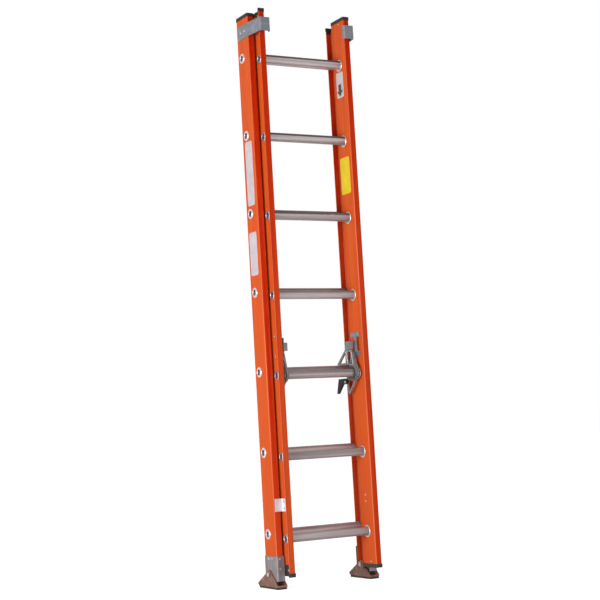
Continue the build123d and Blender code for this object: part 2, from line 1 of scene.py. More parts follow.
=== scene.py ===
"""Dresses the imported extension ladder: finishes, labels, rolled rung ends, cast ribs, light and camera.

Lengths are in metres in the ladder's own frame: X across, the climber on the -Y side, Z up the rails.
"""

from __future__ import annotations

import json
import logging
import math
from dataclasses import dataclass
from enum import Enum

import bmesh
import bpy
import numpy as np
from mathutils import Matrix, Vector

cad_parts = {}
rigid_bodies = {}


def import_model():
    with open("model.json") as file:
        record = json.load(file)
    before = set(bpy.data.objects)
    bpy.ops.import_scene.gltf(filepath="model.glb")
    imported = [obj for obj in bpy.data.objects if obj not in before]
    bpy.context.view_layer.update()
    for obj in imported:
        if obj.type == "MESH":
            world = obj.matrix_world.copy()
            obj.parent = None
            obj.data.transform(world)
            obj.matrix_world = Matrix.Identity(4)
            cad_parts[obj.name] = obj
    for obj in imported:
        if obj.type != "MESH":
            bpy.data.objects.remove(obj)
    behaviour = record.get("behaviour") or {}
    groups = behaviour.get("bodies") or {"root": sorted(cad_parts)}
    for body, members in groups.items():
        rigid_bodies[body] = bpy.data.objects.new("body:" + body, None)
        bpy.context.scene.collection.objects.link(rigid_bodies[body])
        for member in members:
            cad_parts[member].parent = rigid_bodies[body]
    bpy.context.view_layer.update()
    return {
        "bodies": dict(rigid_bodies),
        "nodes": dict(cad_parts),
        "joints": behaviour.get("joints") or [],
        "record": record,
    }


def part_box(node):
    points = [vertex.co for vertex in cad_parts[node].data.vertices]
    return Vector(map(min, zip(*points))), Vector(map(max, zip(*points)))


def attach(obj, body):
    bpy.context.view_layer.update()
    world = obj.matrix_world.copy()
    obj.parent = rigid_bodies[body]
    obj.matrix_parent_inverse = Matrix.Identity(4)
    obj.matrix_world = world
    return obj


Colour = tuple[float, float, float]
Span = tuple[float, float]
Outline = tuple[tuple[float, float], ...]

LOG = logging.getLogger("ladder")
PHOTO_PIXELS = 600
SENSOR_MM = 36.0
MM = 0.001
WELD_DISTANCE = 1e-7
RUNG_PITCH = 304.8 * MM
RUNGS = 7
WHITE = (1.0, 1.0, 1.0, 1.0)
WHOLE: Span = (0.0, 1.0)

# How far a noise swings over most of a surface, and what it and the marks do to the roughness.
NOISE_SPAN: Span = (0.3, 0.7)
ROUGHNESS_SWING: Span = (-0.08, 0.08)
SCUFF_ROUGHENS = 0.25
DIRT_ROUGHENS = 0.4

# The parts of the normal that mark a rail's web, which gets painted side light, and its corners, which get
# a painted highlight and wear, and the grain that breaks the corners.
SIDELIT_WEB_NORMAL: Span = (0.35, 0.9)
CORNER_NORMAL: Span = (0.2, 0.45)
CORNER_GRAIN: Span = (0.3, 0.6)
CORNER_LEFT: Span = (0.3, 1.0)

# The painted shade on the rungs' noses: height over the axis, forward part of the normal, and strength by
# height up the ladder.
NOSE_RISE: Span = (5.5 * MM, 8.0 * MM)
NOSE_NORMAL: Span = (-0.2, -0.6)
NOSE_HEIGHTS: Span = (0.25, 1.5)
NOSE_STRENGTHS: Span = (0.15, 0.95)


class Axis(Enum):
    """The direction that a drawn or rolled surface's lines run in."""

    ACROSS = (0.02, 1.0, 1.0)
    ALONG_RAIL = (1.0, 1.0, 0.012)
    NONE = (1.0, 1.0, 1.0)


def linear(red: int, green: int, blue: int) -> Colour:
    """Turns 8-bit display values into linear light, by the sRGB curve."""
    return tuple(
        c / 12.92 if c <= 0.04045 else ((c + 0.055) / 1.055) ** 2.4
        for c in (red / 255, green / 255, blue / 255)
    )


class Graph:
    """A thin hand on a node tree: makes nodes and joins sockets by name."""

    def __init__(self, tree: bpy.types.NodeTree) -> None:
        """Keeps the tree and clears what is in it."""
        self.tree = tree
        tree.nodes.clear()

    def node(self, kind: str, inputs: dict | None = None, **settings: object) -> bpy.types.Node:
        """Makes one node.

        Args:
            kind: Blender's name for the node's type.
            inputs: values or sockets for the node's inputs, by name or number.
            settings: properties of the node itself, which are set before its inputs.

        Returns:
            The new node.
        """
        made = self.tree.nodes.new(kind)
        for name, value in settings.items():
            setattr(made, name, value)
        for name, value in (inputs or {}).items():
            if isinstance(value, bpy.types.NodeSocket):
                self.tree.links.new(value, made.inputs[name])
            else:
                made.inputs[name].default_value = value
        return made

    def math(
        self, operation: str, first: object, second: object = 0.0, clamp: bool = False
    ) -> bpy.types.NodeSocket:
        """Adds a Math node and returns its value."""
        made = self.node("ShaderNodeMath", {0: first, 1: second}, operation=operation, use_clamp=clamp)
        return made.outputs[0]

    def remap(self, value: object, span: Span, to: Span = WHOLE) -> bpy.types.NodeSocket:
        """Adds a clamped Map Range node from one span to another and returns its value."""
        ends = {
            "Value": value,
            "From Min": span[0],
            "From Max": span[1],
            "To Min": to[0],
            "To Max": to[1],
        }
        return self.node("ShaderNodeMapRange", ends).outputs["Result"]

    def noise(self, vector: object, scale: object, detail: float) -> bpy.types.NodeSocket:
        """Adds a Noise Texture node and returns its value."""
        made = self.node("ShaderNodeTexNoise", {"Vector": vector, "Scale": scale, "Detail": detail})
        return made.outputs["Fac"]

    def part(self, vector: object, axis: str) -> bpy.types.NodeSocket:
        """Adds a Separate XYZ node and returns one part of a vector."""
        return self.node("ShaderNodeSeparateXYZ", {"Vector": vector}).outputs[axis]

    def mix(self, factor: object, first: object, second: object) -> bpy.types.NodeSocket:
        """Adds a colour Mix node and returns its colour."""
        made = self.node("ShaderNodeMix", data_type="RGBA")
        for index, value in ((0, factor), (6, first), (7, second)):
            if isinstance(value, bpy.types.NodeSocket):
                self.tree.links.new(value, made.inputs[index])
            elif index:
                made.inputs[index].default_value = (*value, 1.0)
            else:
                made.inputs[index].default_value = value
        return made.outputs[2]


class SurfaceGroups:
    """The shader node groups that the ladder's finishes share."""

    BROAD_SHARE = 0.12
    SCUFF_FINER = 9.0
    SCUFF_PEAKS: Span = (0.56, 0.72)
    SCUFF_ZONES: Span = (0.48, 0.68)
    DIRT_AND_FLOOR_LIGHT_SCALE = 55.0
    DIRT_AND_FLOOR_LIGHT_CLOUD: Span = (0.35, 0.7)
    DIRT_AND_FLOOR_LIGHT_LEFT: Span = (0.15, 1.0)

    def __init__(self) -> None:
        """Builds each group once."""
        self.grain = self._grain()
        self.scuffs = self._scuffs()
        self.dirt_and_floor_light = self._dirt_and_floor_light()

    @staticmethod
    def _start(
        name: str, inputs: dict[str, float], outputs: list[str]
    ) -> tuple[Graph, bpy.types.Node, bpy.types.Node]:
        """Opens a new group, which has a Stretch for its coordinates.

        Args:
            name: the group's name.
            inputs: the default values of its other inputs.
            outputs: the names of its values.

        Returns:
            The graph, the group's input node and its output node.
        """
        tree = bpy.data.node_groups.new(name, "ShaderNodeTree")
        stretch = tree.interface.new_socket("Stretch", in_out="INPUT", socket_type="NodeSocketVector")
        stretch.default_value = Axis.NONE.value
        for label, value in inputs.items():
            socket = tree.interface.new_socket(label, in_out="INPUT", socket_type="NodeSocketFloat")
            socket.default_value = value
        for label in outputs:
            tree.interface.new_socket(label, in_out="OUTPUT", socket_type="NodeSocketFloat")
        graph = Graph(tree)
        return graph, graph.node("NodeGroupInput"), graph.node("NodeGroupOutput")

    @staticmethod
    def _coordinates(
        graph: Graph, given: bpy.types.Node
    ) -> tuple[bpy.types.NodeSocket, bpy.types.NodeSocket]:
        """Adds the Object coordinates and returns them plain and times the group's Stretch."""
        plain = graph.node("ShaderNodeTexCoord").outputs["Object"]
        stretched = graph.node(
            "ShaderNodeVectorMath", {0: plain, 1: given.outputs["Stretch"]}, operation="MULTIPLY"
        )
        return plain, stretched.outputs[0]

    def _grain(self) -> bpy.types.NodeTree:
        """Lines drawn along one axis: noise on Object coordinates that are squeezed along that axis."""
        graph, given, out = self._start("Drawn grain", {"Fineness": 800.0}, ["Fine", "Broad"])
        _, stretched = self._coordinates(graph, given)
        fineness = given.outputs["Fineness"]
        fine = graph.noise(stretched, fineness, 3.0)
        broad = graph.noise(stretched, graph.math("MULTIPLY", fineness, self.BROAD_SHARE), 4.0)
        graph.tree.links.new(fine, out.inputs["Fine"])
        graph.tree.links.new(broad, out.inputs["Broad"])
        return graph.tree

    def _scuffs(self) -> bpy.types.NodeTree:
        """Handling marks: the peaks of a fine noise, let through where a broad noise is high."""
        graph, given, out = self._start("Scuffs", {"Scale": 40.0, "Amount": 0.5}, ["Mask"])
        plain, stretched = self._coordinates(graph, given)
        scale = given.outputs["Scale"]
        fine = graph.noise(stretched, graph.math("MULTIPLY", scale, self.SCUFF_FINER), 5.0)
        where = graph.noise(plain, scale, 2.0)
        peaks = graph.remap(fine, self.SCUFF_PEAKS)
        zones = graph.remap(where, self.SCUFF_ZONES)
        marks = graph.math("MULTIPLY", peaks, zones)
        graph.tree.links.new(graph.math("MULTIPLY", marks, given.outputs["Amount"]), out.inputs["Mask"])
        return graph.tree

    def _dirt_and_floor_light(self) -> bpy.types.NodeTree:
        """Grime from the ground, and on the rails a paler painted floor light: full at the soles, gone at
        a height, broken up by a stretched noise.
        """
        graph, given, out = self._start("Ground dirt", {"Height": 0.5, "Amount": 0.4}, ["Mask"])
        plain, stretched = self._coordinates(graph, given)
        share = graph.math("DIVIDE", graph.part(plain, "Z"), given.outputs["Height"])
        fall = graph.math("SUBTRACT", 1.0, share, clamp=True)
        cloud = graph.noise(stretched, self.DIRT_AND_FLOOR_LIGHT_SCALE, 6.0)
        broken = graph.remap(cloud, self.DIRT_AND_FLOOR_LIGHT_CLOUD, self.DIRT_AND_FLOOR_LIGHT_LEFT)
        mask = graph.math("MULTIPLY", graph.math("MULTIPLY", fall, broken), given.outputs["Amount"])
        graph.tree.links.new(mask, out.inputs["Mask"])
        return graph.tree


@dataclass(frozen=True)
class Finish:
    """One procedural finish: a drawn or grainy base with scuffs over it, and a ground colour that is grime
    on the low parts and a paler painted floor light on the rails.

    The colour runs from dark to light with the broad grain, then towards the scuff colour in the scuffs
    and towards the ground colour near the ground: grime on the low parts, a paler painted floor light on
    the rails, and darker towards the bottom on the rungs. Roughness and bump follow the fine grain and the
    scuffs. A rail also has painted side light on the web and a painted highlight with wear at the corners,
    and a rung has a painted shade along its nose.
    """

    name: str
    dark: Colour
    light: Colour
    roughness: float
    metallic: float = 0.0
    lines: Axis = Axis.NONE
    fineness: float = 800.0
    bump: float = 0.12
    bump_distance: float = 0.0004
    scuff: float = 0.4
    scuff_scale: float = 40.0
    scuff_colour: Colour = (0.6, 0.6, 0.6)
    dirt_and_floor_light: float = 0.25
    dirt_and_floor_light_height: float = 0.5
    dirt_and_floor_light_colour: Colour = (0.16, 0.12, 0.09)
    coat: float = 0.0
    specular: float = 0.5
    sidelit_web_dark: Colour | None = None
    sidelit_web_light: Colour | None = None
    corner_sheen_and_wear_colour: Colour | None = None
    corner_sheen_and_wear: float = 0.6
    corner_sheen_and_wear_low: float = 0.7
    corner_sheen_and_wear_high: float = 1.7
    corner_sheen_and_wear_left: float = 0.25
    nose_shade_colour: Colour | None = None
    first_rung: float = 0.0

    def build(self, groups: SurfaceGroups) -> bpy.types.Material:
        """Makes the material.

        Args:
            groups: the shared node groups.

        Returns:
            The finished material.
        """
        material = bpy.data.materials.new(self.name)
        material.use_nodes = True
        graph = Graph(material.node_tree)
        stretch = self.lines.value
        grain = graph.node(
            "ShaderNodeGroup", {"Stretch": stretch, "Fineness": self.fineness}, node_tree=groups.grain
        ).outputs
        scuffs = graph.node(
            "ShaderNodeGroup",
            {"Stretch": stretch, "Scale": self.scuff_scale, "Amount": self.scuff},
            node_tree=groups.scuffs,
        ).outputs["Mask"]
        dirt_and_floor_light = graph.node(
            "ShaderNodeGroup",
            {"Stretch": stretch, "Height": self.dirt_and_floor_light_height, "Amount": self.dirt_and_floor_light},
            node_tree=groups.dirt_and_floor_light,
        ).outputs["Mask"]
        base = self._base(graph, grain["Broad"])
        scuffed = graph.mix(scuffs, base, self.scuff_colour)
        # Towards the ground colour near the ground: grime on the low parts, a paler painted floor light on
        # the rails, darker towards the bottom on the rungs.
        colour = graph.mix(dirt_and_floor_light, scuffed, self.dirt_and_floor_light_colour)
        swing = graph.remap(grain["Fine"], NOISE_SPAN, ROUGHNESS_SWING)
        rough = graph.math("ADD", swing, self.roughness)
        rough = graph.math("ADD", rough, graph.math("MULTIPLY", scuffs, SCUFF_ROUGHENS))
        rough = graph.math("ADD", rough, graph.math("MULTIPLY", dirt_and_floor_light, DIRT_ROUGHENS), clamp=True)
        height = graph.math("SUBTRACT", grain["Fine"], scuffs)
        bump = graph.node(
            "ShaderNodeBump", {"Height": height, "Strength": self.bump, "Distance": self.bump_distance}
        )
        shader = graph.node(
            "ShaderNodeBsdfPrincipled",
            {
                "Base Color": colour,
                "Roughness": rough,
                "Metallic": self.metallic,
                "Normal": bump.outputs["Normal"],
                "Coat Weight": self.coat,
                "Specular IOR Level": self.specular,
            },
        )
        graph.node("ShaderNodeOutputMaterial", {"Surface": shader.outputs["BSDF"]})
        return material

    def _base(self, graph: Graph, grain: bpy.types.NodeSocket) -> bpy.types.NodeSocket:
        """The clean colour: dark to light with the grain, then the painted side light on the web, the
        painted highlight and wear at the corners, and the painted shade on the noses.

        Args:
            graph: the material's nodes.
            grain: the broad grain.

        Returns:
            The colour's socket.
        """
        spread = graph.remap(grain, NOISE_SPAN)
        base = graph.mix(spread, self.dark, self.light)
        # Painted side light: the webs, which face the side lamp, get lighter and yellower colours than the
        # front faces.
        if self.sidelit_web_dark and self.sidelit_web_light:
            web = graph.mix(spread, self.sidelit_web_dark, self.sidelit_web_light)
            base = graph.mix(self._sidelit_mask(graph), base, web)
        # Painted highlight and wear: a pale colour along the rounded corners, fading up the rails.
        if self.corner_sheen_and_wear_colour:
            base = graph.mix(self._corner_sheen_and_wear(graph, grain), base, self.corner_sheen_and_wear_colour)
        # Painted shade: a dark band along the upper front of each rung, strongest on the upper rungs.
        if self.nose_shade_colour:
            base = graph.mix(self._nose_shade(graph), base, self.nose_shade_colour)
        return base

    @staticmethod
    def _sidelit_mask(graph: Graph) -> bpy.types.NodeSocket:
        """A mask of the faces that look across the ladder, from the size of the normal's X part: the webs
        with painted side light.
        """
        normal = graph.node("ShaderNodeTexCoord").outputs["Normal"]
        return graph.remap(graph.math("ABSOLUTE", graph.part(normal, "X")), SIDELIT_WEB_NORMAL)

    def _corner_sheen_and_wear(self, graph: Graph, grain: bpy.types.NodeSocket) -> bpy.types.NodeSocket:
        """A mask of the corners that get a painted highlight and wear.

        It is the product of the normal's X and Y parts, broken by the grain, and it fades up the rails.

        Args:
            graph: the material's nodes.
            grain: the broad grain.

        Returns:
            The mask's socket.
        """
        spot = graph.node("ShaderNodeTexCoord").outputs
        product = graph.math("MULTIPLY", graph.part(spot["Normal"], "X"), graph.part(spot["Normal"], "Y"))
        diagonal = graph.remap(graph.math("ABSOLUTE", product), CORNER_NORMAL, (0.0, self.corner_sheen_and_wear))
        heights = (self.corner_sheen_and_wear_low, self.corner_sheen_and_wear_high)
        fade = graph.remap(graph.part(spot["Object"], "Z"), heights, (1.0, self.corner_sheen_and_wear_left))
        broken = graph.math("MULTIPLY", diagonal, graph.remap(grain, CORNER_GRAIN, CORNER_LEFT))
        return graph.math("MULTIPLY", broken, fade)

    def _nose_shade(self, graph: Graph) -> bpy.types.NodeSocket:
        """A mask of the painted shade along the upper front of each rung, on the noses of the treads.

        The height over the nearest rung's axis is the rise over the first rung, less the pitch times the
        rounded rung number. The mask takes the top of that height on faces that look forwards, and it is
        strongest on the upper rungs.

        Args:
            graph: the material's nodes.

        Returns:
            The mask's socket.
        """
        spot = graph.node("ShaderNodeTexCoord").outputs
        height = graph.part(spot["Object"], "Z")
        rise = graph.math("SUBTRACT", height, self.first_rung)
        number = graph.math("ROUND", graph.math("DIVIDE", rise, RUNG_PITCH))
        over = graph.math("SUBTRACT", rise, graph.math("MULTIPLY", number, RUNG_PITCH))
        upper = graph.remap(over, NOSE_RISE)
        facing = graph.remap(graph.part(spot["Normal"], "Y"), NOSE_NORMAL)
        strength = graph.remap(height, NOSE_HEIGHTS, NOSE_STRENGTHS)
        return graph.math("MULTIPLY", graph.math("MULTIPLY", upper, facing), strength)


class PaintShop:
    """Makes each finish's material once, on the shared node groups."""

    def __init__(self) -> None:
        """Builds the groups and starts with no materials."""
        self.groups = SurfaceGroups()
        self.made: dict[str, bpy.types.Material] = {}

    def material(self, finish: Finish) -> bpy.types.Material:
        """Returns a finish's material, which is made the first time that it is asked for."""
        if finish.name not in self.made:
            self.made[finish.name] = finish.build(self.groups)
        return self.made[finish.name]


FINISHES: dict[str, Finish] = {
    "rail": Finish(
        "orange_fibreglass",
        dark=linear(172, 31, 4),
        light=linear(190, 45, 8),
        # Painted side light: lighter, yellower colours on the webs, which look across the ladder.
        sidelit_web_dark=linear(185, 70, 24),
        sidelit_web_light=linear(202, 86, 33),
        roughness=0.40,
        lines=Axis.ALONG_RAIL,
        fineness=900.0,
        bump=0.10,
        scuff=0.30,
        scuff_scale=14.0,
        scuff_colour=linear(226, 128, 84),
        # Painted floor light: the rails turn a paler orange towards the foot.
        dirt_and_floor_light=1.2,
        dirt_and_floor_light_height=2.0,
        dirt_and_floor_light_colour=linear(194, 80, 36),
        specular=0.05,
        # Painted highlight and wear along the rounded corners.
        corner_sheen_and_wear_colour=linear(244, 160, 128),
    ),
    "rung": Finish(
        "drawn_rung_aluminium",
        dark=linear(126, 117, 117),
        light=linear(196, 187, 187),
        roughness=0.46,
        metallic=0.7,
        lines=Axis.ACROSS,
        fineness=700.0,
        bump=0.16,
        scuff=0.5,
        scuff_colour=linear(206, 204, 204),
        # Darker towards the bottom of the ladder.
        dirt_and_floor_light=0.65,
        dirt_and_floor_light_height=2.2,
        dirt_and_floor_light_colour=linear(112, 92, 92),
        # Painted shade along the rungs' noses.
        nose_shade_colour=linear(74, 62, 60),
        first_rung=185.0 * MM,
    ),
    "base_rung": Finish(
        "shaded_rung_aluminium",
        dark=linear(132, 112, 111),
        light=linear(220, 198, 197),
        roughness=0.46,
        metallic=0.7,
        lines=Axis.ACROSS,
        fineness=700.0,
        bump=0.16,
        scuff=0.5,
        scuff_colour=linear(196, 186, 184),
        # Darker towards the bottom of the ladder.
        dirt_and_floor_light=0.3,
        dirt_and_floor_light_height=2.2,
        dirt_and_floor_light_colour=linear(112, 88, 86),
        # Painted shade along the rungs' noses.
        nose_shade_colour=linear(120, 98, 96),
        first_rung=203.0 * MM,
    ),
    "ring": Finish(
        # Painted highlight: the rolled rings are lighter than the rung aluminium that they are rolled
        # from.
        "highlighted_swaged_ring_aluminium",
        dark=linear(196, 194, 194),
        light=linear(226, 224, 224),
        roughness=0.34,
        metallic=0.9,
        fineness=500.0,
        dirt_and_floor_light=0.1,
    ),
    "rivet": Finish(
        "dull_rivet_aluminium",
        dark=linear(150, 150, 152),
        light=linear(190, 190, 192),
        roughness=0.45,
        metallic=0.85,
        fineness=1200.0,
        dirt_and_floor_light=0.1,
    ),
    "cap": Finish(
        "moulded_black_cap",
        dark=linear(17, 15, 15),
        light=linear(31, 27, 26),
        roughness=0.6,
        fineness=1600.0,
        bump=0.2,
        scuff=0.35,
        scuff_colour=linear(84, 76, 72),
        dirt_and_floor_light=0.2,
        specular=0.3,
    ),
    "fly_guide": Finish(
        "bright_guide_aluminium",
        dark=linear(196, 192, 197),
        light=linear(224, 219, 225),
        roughness=0.42,
        metallic=0.5,
        lines=Axis.ACROSS,
        fineness=420.0,
        scuff=0.5,
        scuff_colour=linear(226, 226, 228),
        dirt_and_floor_light=0.0,
    ),
    "boot": Finish(
        "pressed_boot_aluminium",
        dark=linear(112, 106, 110),
        light=linear(140, 134, 138),
        roughness=0.5,
        metallic=0.5,
        lines=Axis.ALONG_RAIL,
        fineness=420.0,
        scuff=0.6,
        scuff_colour=linear(200, 198, 198),
        dirt_and_floor_light=0.45,
        dirt_and_floor_light_height=0.16,
        dirt_and_floor_light_colour=linear(112, 92, 78),
    ),
    "bracket": Finish(
        "pressed_bracket_aluminium",
        dark=linear(104, 106, 112),
        light=linear(132, 134, 142),
        roughness=0.5,
        metallic=0.5,
        lines=Axis.ACROSS,
        fineness=420.0,
        scuff=0.5,
        scuff_colour=linear(204, 206, 210),
        dirt_and_floor_light=0.0,
    ),
    "shoe": Finish(
        "plated_shoe_steel",
        dark=linear(92, 66, 56),
        light=linear(154, 112, 100),
        roughness=0.52,
        metallic=0.6,
        fineness=260.0,
        bump=0.2,
        scuff=0.7,
        scuff_colour=linear(176, 168, 160),
        dirt_and_floor_light=0.5,
        dirt_and_floor_light_height=0.10,
        dirt_and_floor_light_colour=linear(92, 66, 48),
    ),
    "pad": Finish(
        "grooved_rubber",
        dark=linear(26, 25, 25),
        light=linear(42, 40, 39),
        roughness=0.85,
        fineness=900.0,
        bump=0.25,
        scuff=0.3,
        scuff_colour=linear(90, 84, 78),
        dirt_and_floor_light=0.5,
        dirt_and_floor_light_height=0.02,
        specular=0.3,
    ),
    "bolt": Finish(
        "zinc_bolt_steel",
        dark=linear(160, 160, 160),
        light=linear(196, 194, 188),
        roughness=0.36,
        metallic=0.9,
        fineness=900.0,
        dirt_and_floor_light=0.2,
    ),
    "lock": Finish(
        # Partly painted shade: the cast aluminium's grey, darkened for the shade that the locks sit in.
        "shaded_cast_lock_aluminium",
        dark=linear(112, 108, 109),
        light=linear(146, 142, 143),
        roughness=0.55,
        metallic=0.75,
        fineness=1500.0,
        bump=0.35,
        bump_distance=0.0006,
        scuff=0.5,
        scuff_colour=linear(190, 188, 186),
        dirt_and_floor_light=0.0,
    ),
    "lock_rib": Finish(
        "rubbed_lock_aluminium",
        dark=linear(150, 146, 147),
        light=linear(186, 182, 183),
        roughness=0.45,
        metallic=0.75,
        fineness=1500.0,
        bump=0.25,
        scuff=0.5,
        scuff_colour=linear(206, 204, 202),
        dirt_and_floor_light=0.0,
    ),
    "bush": Finish(
        "nylon_bush",
        dark=linear(36, 36, 38),
        light=linear(54, 54, 56),
        roughness=0.5,
        fineness=900.0,
        dirt_and_floor_light=0.0,
    ),
    "spring": Finish(
        "spring_wire",
        dark=linear(120, 120, 124),
        light=linear(158, 158, 162),
        roughness=0.34,
        metallic=0.95,
        fineness=1500.0,
        dirt_and_floor_light=0.0,
    ),
    "flipper": Finish(
        "moulded_black_flipper",
        dark=linear(14, 12, 12),
        light=linear(25, 21, 21),
        roughness=0.6,
        fineness=1600.0,
        bump=0.2,
        scuff=0.25,
        scuff_colour=linear(66, 62, 60),
        dirt_and_floor_light=0.0,
        specular=0.3,
    ),
}

LABEL_WHITE = Finish(
    "white_label_vinyl",
    dark=linear(170, 162, 166),
    light=linear(188, 179, 184),
    roughness=0.4,
    fineness=300.0,
    bump=0.08,
    scuff=0.6,
    scuff_scale=60.0,
    scuff_colour=linear(176, 140, 124),
    dirt_and_floor_light=0.0,
)
LABEL_YELLOW = Finish(
    "yellow_label_vinyl",
    dark=linear(200, 174, 2),
    light=linear(214, 188, 8),
    roughness=0.4,
    fineness=300.0,
    bump=0.08,
    scuff=0.5,
    scuff_scale=60.0,
    scuff_colour=linear(190, 150, 40),
    dirt_and_floor_light=0.0,
    specular=0.2,
)
LABEL_BLACK = Finish(
    "black_label_ink",
    dark=linear(26, 25, 25),
    light=linear(38, 36, 36),
    roughness=0.45,
    fineness=300.0,
    bump=0.05,
    scuff=0.3,
    scuff_scale=60.0,
    scuff_colour=linear(120, 116, 112),
    dirt_and_floor_light=0.0,
)


def surface(
    name: str, grid: np.ndarray, closed_u: bool = False, closed_v: bool = False
) -> bpy.types.Object:
    """Makes a mesh from a grid of points.

    Args:
        name: the piece's name.
        grid: points in metres, shaped (patches, rows, columns, 3); faces join neighbours within a patch.
        closed_u: whether the last row joins the first.
        closed_v: whether the last column joins the first.

    Returns:
        The object, linked to the scene.
    """
    patches, rows, columns, _ = grid.shape
    index = np.arange(patches * rows * columns).reshape(patches, rows, columns)
    if closed_u:
        index = np.concatenate([index, index[:, :1]], axis=1)
    if closed_v:
        index = np.concatenate([index, index[:, :, :1]], axis=2)
    quads = np.stack(
        [index[:, :-1, :-1], index[:, 1:, :-1], index[:, 1:, 1:], index[:, :-1, 1:]], axis=-1
    ).reshape(-1, 4)
    mesh = bpy.data.meshes.new(name)
    mesh.vertices.add(grid.size // 3)
    mesh.vertices.foreach_set("co", np.ascontiguousarray(grid, dtype=np.float32).ravel())
    mesh.loops.add(quads.size)
    mesh.loops.foreach_set("vertex_index", quads.astype(np.int32).ravel())
    mesh.polygons.add(len(quads))
    mesh.polygons.foreach_set("loop_start", np.arange(0, quads.size, 4, dtype=np.int32))
    mesh.polygons.foreach_set("use_smooth", np.ones(len(quads), dtype=bool))
    mesh.update(calc_edges=True)
    mesh.validate()
    made = bpy.data.objects.new(name, mesh)
    bpy.context.scene.collection.objects.link(made)
    return made


def weld(piece: bpy.types.Object) -> None:
    """Merges the points that lie at one place, which closes the middle of a round sheet."""
    work = bmesh.new()
    work.from_mesh(piece.data)
    bmesh.ops.remove_doubles(work, verts=work.verts, dist=WELD_DISTANCE)
    work.to_mesh(piece.data)
    work.free()


def place(piece: bpy.types.Object, body: str, material: bpy.types.Material) -> None:
    """Gives a piece its material and the body that it rides on."""
    piece.data.materials.append(material)
    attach(piece, body)
    LOG.info("%s rides on %s", piece.name, body)


@dataclass
class Label:
    """A blank vinyl label on the -X face of a rail: a rounded sheet whose edge drops to the rail."""

    name: str
    body: str
    node: str
    centre_y: float
    low: float
    high: float
    width: float
    finish: Finish
    lift: float = 0.35 * MM
    corner_power: float = 14.0
    edge: float = 0.985
    ripple: float = 0.08 * MM
    ripple_up: float = 60.0
    ripple_across: float = 40.0
    rows: int = 24
    columns: int = 160

    def build(self, shop: PaintShop) -> None:
        """Makes the sheet.

        A point at radius r and angle t lies at r times a superellipse of the corner power. The sheet
        stands off the rail by its lift, a faint ripple added, and by nothing at r = 1.

        Args:
            shop: the maker of materials.
        """
        radius = np.concatenate([np.linspace(0.0, self.edge, self.rows - 1), [1.0]])[:, None]
        angle = np.linspace(0.0, 2 * math.pi, self.columns, endpoint=False)[None, :]
        cosine, sine = np.cos(angle), np.sin(angle)
        power = self.corner_power
        reach = (np.abs(cosine) ** power + np.abs(sine) ** power) ** (-1 / power)
        across = radius * reach * cosine * self.width / 2
        upward = radius * reach * sine * (self.high - self.low) / 2
        wave = np.sin(self.ripple_up * upward + self.ripple_across * across)
        stand = np.where(radius < 1.0, self.lift + self.ripple * wave, 0.0)
        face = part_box(self.node)[0].x
        middle = (self.low + self.high) / 2
        grid = np.stack([face - stand, self.centre_y + across, middle + upward], axis=-1)
        piece = surface(self.name, grid[None], closed_v=True)
        weld(piece)
        place(piece, self.body, shop.material(self.finish))


@dataclass
class Arrow:
    """A plain arrow printed on a label on the -X face of a rail, pointing down."""

    name: str
    body: str
    node: str
    centre_y: float
    low: float
    high: float
    shaft: float
    head: float
    finish: Finish
    head_share: float = 0.45
    neck_share: float = 0.001
    tip: float = 0.2 * MM
    lift: float = 0.6 * MM
    columns: int = 5

    def build(self, shop: PaintShop) -> None:
        """Makes the arrow.

        Its half width at a share t of its length from the tip grows from the tip's to the head's half
        width at the head's share, and is the shaft's from there on.

        Args:
            shop: the maker of materials.
        """
        share = np.array([0.0, self.head_share, self.head_share + self.neck_share, 1.0])[:, None]
        half = np.array([self.tip, self.head / 2, self.shaft / 2, self.shaft / 2])[:, None]
        across = half * np.linspace(1.0, -1.0, self.columns)[None, :]
        upward = np.broadcast_to(self.low + share * (self.high - self.low), across.shape)
        face = np.full_like(across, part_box(self.node)[0].x - self.lift)
        grid = np.stack([face, self.centre_y + across, upward], axis=-1)
        place(surface(self.name, grid[None]), self.body, shop.material(self.finish))


LABELS = (
    Label(
        name="base_label_upper",
        body="base",
        node="base_rail_left",
        centre_y=0.0165,
        low=1.453,
        high=1.703,
        width=0.058,
        finish=LABEL_WHITE,
    ),
    Label(
        name="base_label_lower",
        body="base",
        node="base_rail_left",
        centre_y=0.0205,
        low=1.183,
        high=1.350,
        width=0.061,
        finish=LABEL_WHITE,
    ),
    Label(
        name="fly_label_white",
        body="fly",
        node="fly_rail_right",
        centre_y=-0.046,
        low=1.886,
        high=1.988,
        width=0.052,
        finish=LABEL_WHITE,
    ),
    Label(
        name="fly_label_yellow",
        body="fly",
        node="fly_rail_right",
        centre_y=-0.046,
        low=1.500,
        high=1.645,
        width=0.070,
        finish=LABEL_YELLOW,
    ),
    Arrow(
        name="fly_label_arrow",
        body="fly",
        node="fly_rail_right",
        centre_y=-0.0445,
        low=1.892,
        high=1.940,
        shaft=0.021,
        head=0.044,
        finish=LABEL_BLACK,
    ),
)


